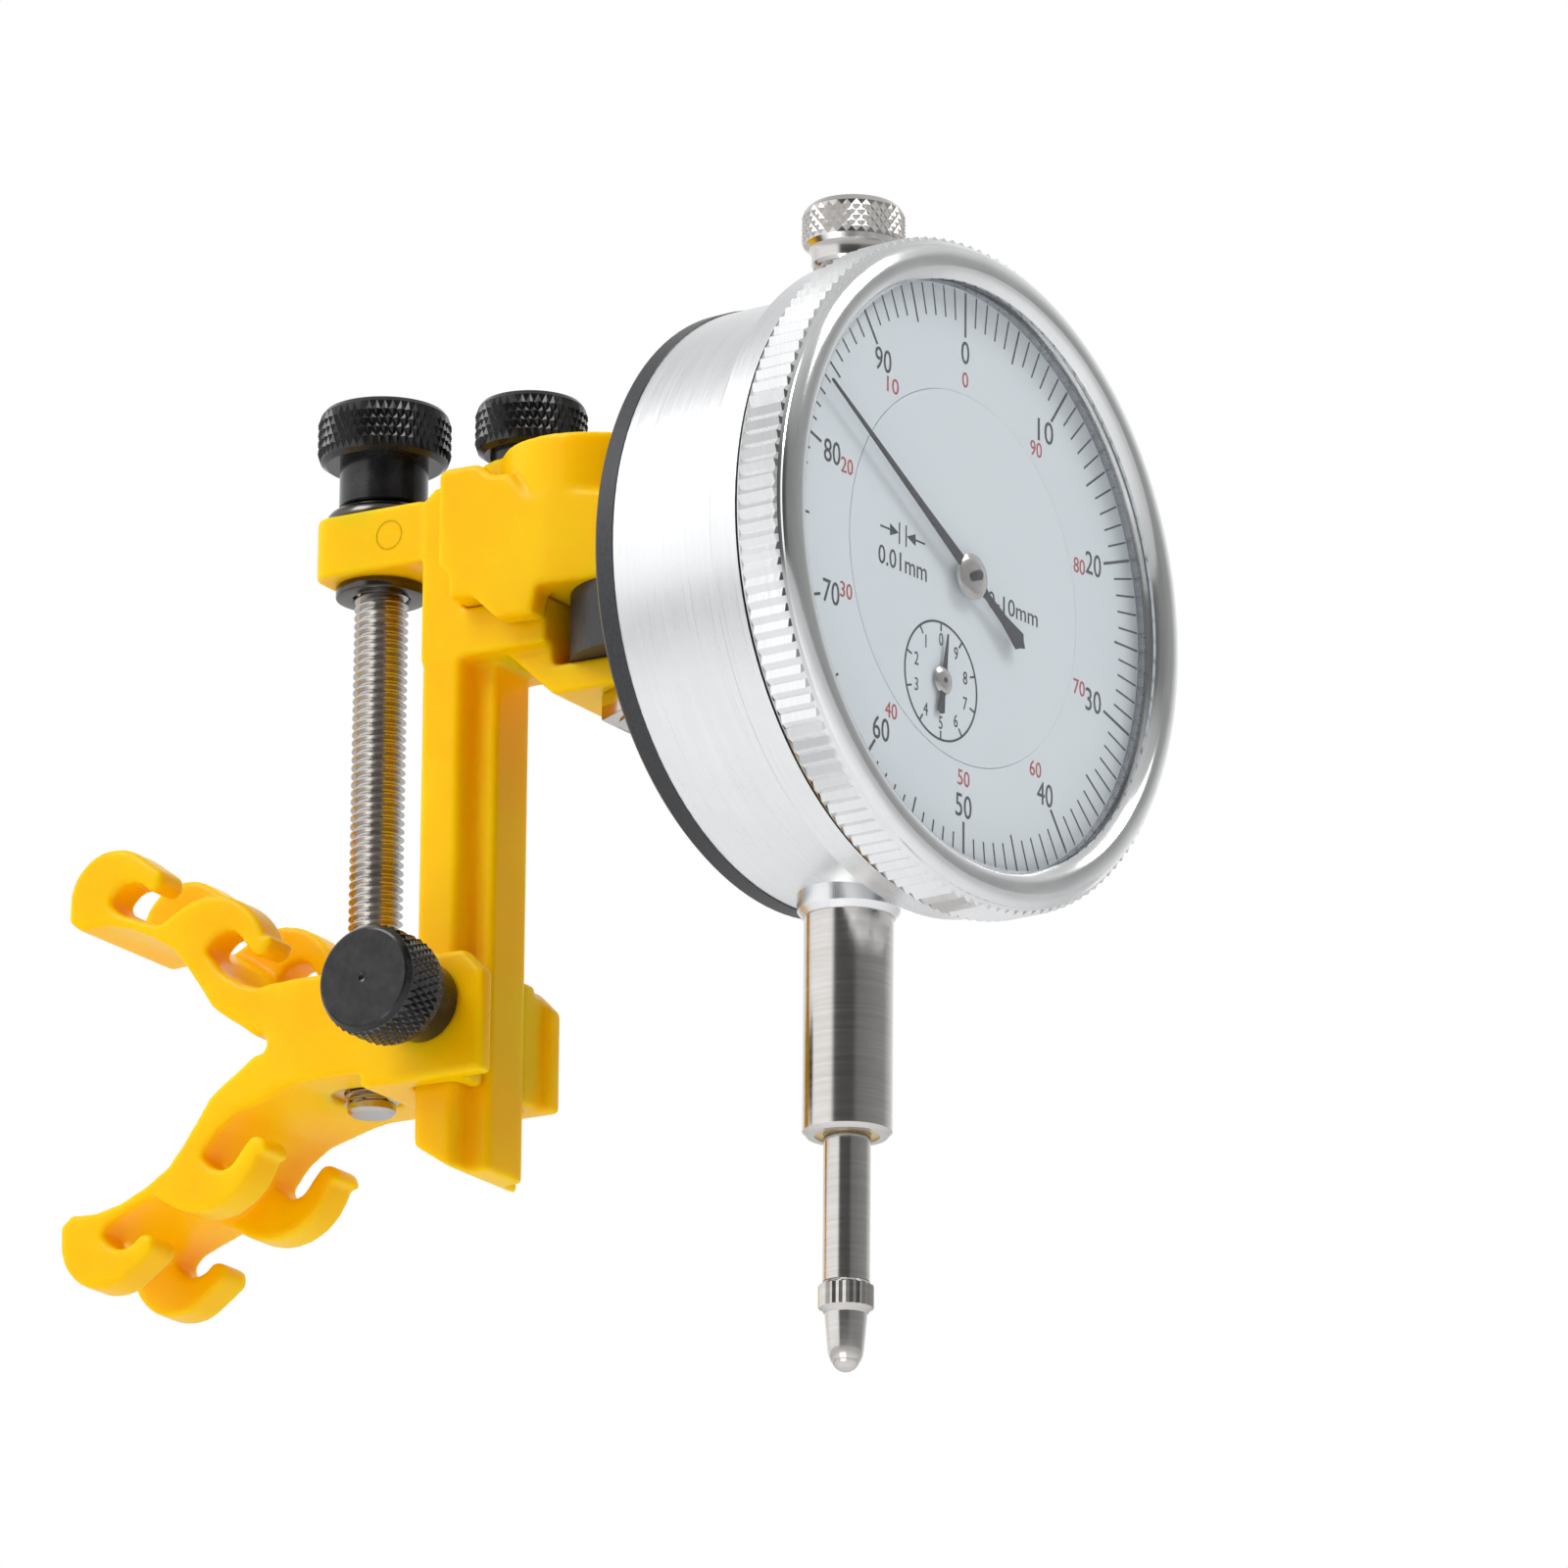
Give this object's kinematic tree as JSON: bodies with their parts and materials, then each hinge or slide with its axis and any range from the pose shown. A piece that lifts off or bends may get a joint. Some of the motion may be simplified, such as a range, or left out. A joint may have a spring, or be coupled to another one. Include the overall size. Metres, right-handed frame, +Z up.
{
  "type": "dial indicator on strap-on bracket",
  "caption": "Dial indicator with a plunger, held by its lug on a strap-on tube saddle with a sliding column, height adjuster and lock knobs.",
  "frame": {"origin": "bottom of the saddle's V at the middle of its width, where the tube it is strapped to seats", "axes": "+Z up along the column and the plunger, +Y out of the V towards the tube, -Y the side the dial faces"},
  "size_m": [0.0614, 0.0984, 0.108],
  "materials": {
    "yellow_plastic": "glossy moulded yellow plastic, slightly translucent",
    "brass": "machined brass",
    "polished_steel": "ground and polished nickel-coloured steel",
    "black_anodised": "black anodised aluminium with a diamond knurl",
    "dark_washer": "dark plated spring steel",
    "nylon": "natural nylon",
    "black_plate": "satin black painted metal",
    "satin_case": "satin chromed die casting",
    "spring_steel": "drawn spring wire and strip",
    "dial_print": "pale grey-white printed dial sheet",
    "hand_lacquer": "dark grey lacquered sheet metal",
    "bright_bezel": "bright turned and knurled metal",
    "crystal_clear": "clear moulded window"
  },
  "bodies": {
    "saddle": {"saddle_base": "yellow_plastic", "threaded_insert": "brass", "lock_insert": "brass"},
    "lock_stud": {"lock_screw": "polished_steel", "lock_pad": "nylon"},
    "lock_knob": {"lock_knob": "black_anodised"},
    "column": {"column": "yellow_plastic", "clamp_insert": "brass", "pivot_pin": "polished_steel", "pivot_nut": "polished_steel"},
    "adjuster": {"adjust_rod": "polished_steel", "adjust_knob": "black_anodised", "dome_washer": "dark_washer", "arm_washer": "polished_steel"},
    "clamp_block": {"clamp_block": "yellow_plastic"},
    "clamp_knob": {"clamp_knob": "black_anodised", "clamp_screw": "polished_steel"},
    "dial": {"back_plate": "black_plate", "back_screws": "black_plate", "case": "satin_case", "stem": "polished_steel", "upper_bush": "brass", "lower_bush": "brass", "front_plate": "brass", "rear_plate": "brass", "pillars": "brass", "plate_screws": "polished_steel", "centre_bridge": "brass", "guide_post": "brass", "hairspring": "spring_steel", "return_spring": "spring_steel", "spring_post": "brass", "inner_dial": "dial_print"},
    "bezel": {"bezel": "bright_bezel", "crystal": "crystal_clear", "crystal_ring": "spring_steel", "scale_ring": "dial_print"},
    "plunger": {"spindle": "polished_steel", "guide_pin": "polished_steel", "lift_knob": "polished_steel", "contact_point": "polished_steel", "contact_ball": "polished_steel"},
    "counter": {"rack_gear": "brass", "counter_hand": "hand_lacquer"},
    "centre": {"centre_pinion": "brass", "main_hand": "hand_lacquer"},
    "take_up": {"take_up_gear": "brass"}
  },
  "joints": [
    {"name": "column_lift", "type": "slide", "parent": "saddle", "child": "column", "axis": [0, 0, 1], "range_m": [-0.018, 0.005]},
    {"name": "adjuster_turn", "type": "hinge", "parent": "column", "child": "adjuster", "pos_m": [0, -0.006, 0], "axis": [0, 0, 1], "range_deg": [-8120, 2270]},
    {"name": "lock_travel", "type": "slide", "parent": "saddle", "child": "lock_stud", "axis": [-1, 0, 0], "range_m": [0, 0.0015]},
    {"name": "lock_turn", "type": "hinge", "parent": "lock_stud", "child": "lock_knob", "pos_m": [-0.0115, -0.017, 0.0012], "axis": [-1, 0, 0], "range_deg": [-1, 1090]},
    {"name": "clamp_lift", "type": "slide", "parent": "column", "child": "clamp_block", "axis": [0, 0, 1], "range_m": [0, 0.0014]},
    {"name": "clamp_turn", "type": "hinge", "parent": "clamp_block", "child": "clamp_knob", "pos_m": [0, -0.022, 0.05], "axis": [0, 0, 1], "range_deg": [-1, 725]},
    {"name": "dial_swing", "type": "hinge", "parent": "column", "child": "dial", "pos_m": [0, -0.0353, 0.0359], "axis": [0, 0, 1], "range_deg": [-54, 66]},
    {"name": "bezel_turn", "type": "hinge", "parent": "dial", "child": "bezel", "pos_m": [-0.00364, -0.06991, 0.0345], "axis": [0.1045, 0.9945, 0], "continuous": true},
    {"name": "plunger_travel", "type": "slide", "parent": "dial", "child": "plunger", "axis": [0, 0, 1], "range_m": [0, 0.01], "stiffness_N_per_m": 60, "springref_m": -0.008, "deforming": ["return_spring"]},
    {"name": "counter_turn", "type": "hinge", "parent": "dial", "child": "counter", "pos_m": [-0.00627, -0.06159, 0.02407], "axis": [0.1045, 0.9945, 0], "range_deg": [-361, 1]},
    {"name": "centre_turn", "type": "hinge", "parent": "dial", "child": "centre", "pos_m": [-0.0028, -0.06195, 0.0345], "axis": [0.1045, 0.9945, 0], "range_deg": [-1, 3601]},
    {"name": "take_up_turn", "type": "hinge", "parent": "dial", "child": "take_up", "pos_m": [0.00067, -0.06232, 0.04493], "axis": [0.1045, 0.9945, 0], "range_deg": [-361, 1]}
  ],
  "couplings": [
    {"joint": "adjuster_turn", "follows": "column_lift", "rad_per_m": 7854},
    {"joint": "lock_turn", "follows": "lock_travel", "rad_per_m": 12566},
    {"joint": "clamp_turn", "follows": "clamp_lift", "rad_per_m": 8976},
    {"joint": "counter_turn", "follows": "plunger_travel", "rad_per_m": -628.32},
    {"joint": "centre_turn", "follows": "plunger_travel", "rad_per_m": 6283.2},
    {"joint": "take_up_turn", "follows": "plunger_travel", "rad_per_m": -628.32}
  ]
}
